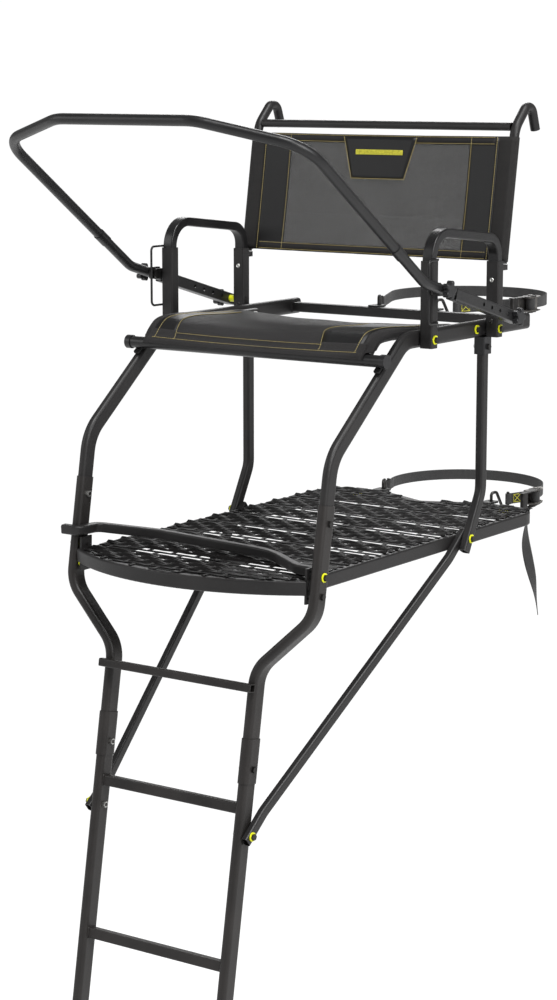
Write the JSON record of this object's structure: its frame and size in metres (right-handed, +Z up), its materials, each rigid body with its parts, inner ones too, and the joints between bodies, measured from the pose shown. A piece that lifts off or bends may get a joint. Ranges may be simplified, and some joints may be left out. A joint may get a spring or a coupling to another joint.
{
  "type": "ladder tree stand",
  "caption": "Ladder tree stand: sectional ladder, slotted foot platform with a tree notch, flip-up mesh seat, armrests, tilting shooting rail and ratchet straps for the trunk.",
  "frame": {"origin": "front of the tree trunk on the stand's centre line, at the height of the seat side rails", "axes": "+Z up, +X to the right of a climber who faces the tree, +Y from the stand into the tree"},
  "size_m": [0.8094, 1.9382, 4.4193],
  "materials": {
    "frame_steel": "charcoal powder coat, semi-gloss",
    "ladder_steel": "charcoal powder coat, semi-gloss",
    "bright_steel": "zinc plated",
    "dark_steel": "black coated",
    "washer_yellow": "moulded nylon",
    "black_plastic": "moulded, fine grain",
    "rubber": "matte",
    "mesh_fabric": "woven vinyl mesh",
    "webbing": "woven polyester webbing"
  },
  "bodies": {
    "root": {"armrest_left": "frame_steel", "armrest_posts": "frame_steel", "armrest_right": "frame_steel", "backrest_cross_bar": "frame_steel", "backrest_sling": "mesh_fabric", "backrest_uprights": "frame_steel", "bolts": "dark_steel", "brace_left": "frame_steel", "brace_right": "frame_steel", "foot_rest_bar": "frame_steel", "frame_brackets": "frame_steel", "ladder_collars": "ladder_steel", "ladder_feet": "ladder_steel", "ladder_rails": "ladder_steel", "ladder_rungs": "ladder_steel", "leg_clips": "black_plastic", "lower_strap": "webbing", "nuts": "bright_steel", "platform_center_beam": "frame_steel", "platform_cross_bars": "frame_steel", "platform_front_bow": "frame_steel", "platform_grate": "frame_steel", "platform_notch_bar": "frame_steel", "platform_sides": "frame_steel", "rail_guides": "frame_steel", "ratchet_frames": "bright_steel", "rear_cross_bar": "frame_steel", "rear_legs": "frame_steel", "seat_rest_pads": "rubber", "side_frame_left": "frame_steel", "side_frame_right": "frame_steel", "spacers": "washer_yellow", "strap_hooks": "dark_steel", "strap_tabs": "frame_steel", "strap_tail": "webbing", "top_rail_left": "ladder_steel", "top_rail_right": "ladder_steel", "top_rung": "ladder_steel", "tube_end_caps": "black_plastic", "upper_strap": "webbing", "washers": "washer_yellow", "webbing_loops": "webbing"},
    "seat": {"seat_tubes": "frame_steel", "seat_front_bar": "frame_steel", "seat_end_caps": "black_plastic", "seat_sling": "mesh_fabric"},
    "shooting_rail": {"rail_arm_left": "frame_steel", "rail_arm_right": "frame_steel", "rail_bow": "frame_steel", "rail_joint_sleeves": "frame_steel", "rail_sockets": "frame_steel", "height_clamps": "black_plastic"},
    "clamp_knob_left": {"clamp_knob_left": "black_plastic"},
    "clamp_knob_right": {"clamp_knob_right": "black_plastic"},
    "pivot_knob_left": {"pivot_knob_left": "black_plastic"},
    "pivot_knob_right": {"pivot_knob_right": "black_plastic"},
    "upper_spool": {"upper_ratchet_spool": "bright_steel"},
    "lower_spool": {"lower_ratchet_spool": "bright_steel"},
    "upper_handle": {"upper_ratchet_handle": "dark_steel"},
    "lower_handle": {"lower_ratchet_handle": "dark_steel"}
  },
  "joints": [
    {"name": "seat_flip", "type": "hinge", "parent": "root", "child": "seat", "pos_m": [0, -0.319, 0], "axis": [-1, 0, 0], "range_deg": [0, 88]},
    {"name": "rail_tilt", "type": "hinge", "parent": "root", "child": "shooting_rail", "pos_m": [0, -0.278, 0.028], "axis": [-1, 0, 0], "range_deg": [-11, 9]},
    {"name": "clamp_knob_left_turn", "type": "hinge", "parent": "shooting_rail", "child": "clamp_knob_left", "pos_m": [-0.395, -0.565, 0.10642], "axis": [-1, 0, 0], "range_deg": [-180, 180]},
    {"name": "pivot_knob_left_turn", "type": "hinge", "parent": "root", "child": "pivot_knob_left", "pos_m": [-0.398, -0.278, 0.028], "axis": [-1, 0, 0], "range_deg": [-180, 180]},
    {"name": "clamp_knob_right_turn", "type": "hinge", "parent": "shooting_rail", "child": "clamp_knob_right", "pos_m": [0.395, -0.565, 0.10642], "axis": [1, 0, 0], "range_deg": [-180, 180]},
    {"name": "pivot_knob_right_turn", "type": "hinge", "parent": "root", "child": "pivot_knob_right", "pos_m": [0.398, -0.278, 0.028], "axis": [1, 0, 0], "range_deg": [-180, 180]},
    {"name": "upper_spool_turn", "type": "hinge", "parent": "root", "child": "upper_spool", "pos_m": [0.19631, 0.13557, 0.0131], "axis": [0, 0, 1], "range_deg": [-180, 180]},
    {"name": "upper_handle_swing", "type": "hinge", "parent": "root", "child": "upper_handle", "pos_m": [0.19631, 0.13557, 0.0131], "axis": [0, 0, 1], "range_deg": [0, 140]},
    {"name": "lower_spool_turn", "type": "hinge", "parent": "root", "child": "lower_spool", "pos_m": [0.20163, 0.16689, -0.4454], "axis": [0, 0, 1], "range_deg": [-180, 180]},
    {"name": "lower_handle_swing", "type": "hinge", "parent": "root", "child": "lower_handle", "pos_m": [0.20163, 0.16689, -0.4454], "axis": [0, 0, 1], "range_deg": [0, 140]}
  ]
}
